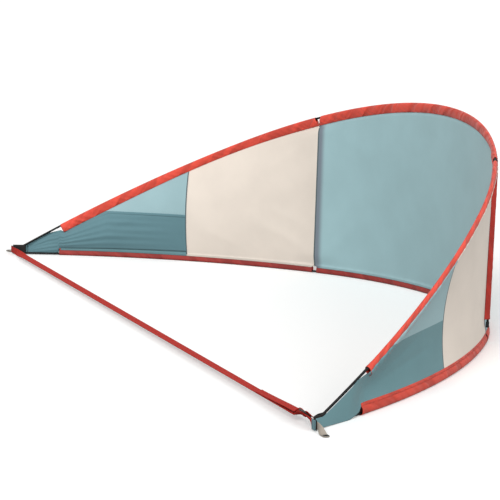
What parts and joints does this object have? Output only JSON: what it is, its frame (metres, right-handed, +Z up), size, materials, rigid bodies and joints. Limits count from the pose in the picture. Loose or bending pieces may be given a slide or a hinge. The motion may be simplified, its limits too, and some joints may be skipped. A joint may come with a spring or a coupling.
{
  "type": "beach windbreak",
  "caption": "Low bow-shaped beach windbreak: a cloth wall in blue and cream between two bent poles, propped by uprights and drawn in by a ground strap.",
  "frame": {"origin": "middle of the footprint's box, on the ground", "axes": "+X along the strap to the buckle end, +Y to the back of the shelter, +Z up"},
  "size_m": [3.323, 1.2159, 0.7084],
  "materials": {
    "black_fibreglass": "smooth pultruded rod",
    "black_plastic": "moulded",
    "red_polyester": "plain woven polyester",
    "blue_polyester": "plain woven polyester",
    "pocket_polyester": "plain woven polyester, two layers deep",
    "cream_polyester": "plain woven polyester",
    "red_webbing": "woven webbing",
    "black_webbing": "woven webbing",
    "grey_webbing": "woven webbing",
    "black_eyelet": "black lacquer on brass",
    "grey_plastic": "moulded acetal"
  },
  "bodies": {
    "root": {"top_pole": "black_fibreglass", "ground_pole": "black_fibreglass", "left_upright_pole": "black_fibreglass", "right_upright_pole": "black_fibreglass", "left_head_cap": "black_plastic", "right_head_cap": "black_plastic", "left_foot_cap": "black_plastic", "right_foot_cap": "black_plastic", "left_top_sleeve": "red_polyester", "middle_top_sleeve": "red_polyester", "right_top_sleeve": "red_polyester", "left_ground_sleeve": "red_polyester", "middle_ground_sleeve": "red_polyester", "right_ground_sleeve": "red_polyester", "left_upright_sleeve": "red_polyester", "right_upright_sleeve": "red_polyester", "left_wing_panel": "blue_polyester", "left_side_panel": "cream_polyester", "back_panel": "blue_polyester", "right_side_panel": "cream_polyester", "right_wing_panel": "blue_polyester", "left_sand_pocket": "pocket_polyester", "right_sand_pocket": "pocket_polyester", "left_corner_pocket": "black_webbing", "right_corner_pocket": "black_webbing", "left_peg_tab": "grey_webbing", "right_peg_tab": "grey_webbing", "left_peg_eyelet": "black_eyelet", "right_peg_eyelet": "black_eyelet", "ground_strap": "red_webbing", "strap_buckle": "grey_plastic", "buckle_loop": "red_webbing"}
  },
  "joints": []
}
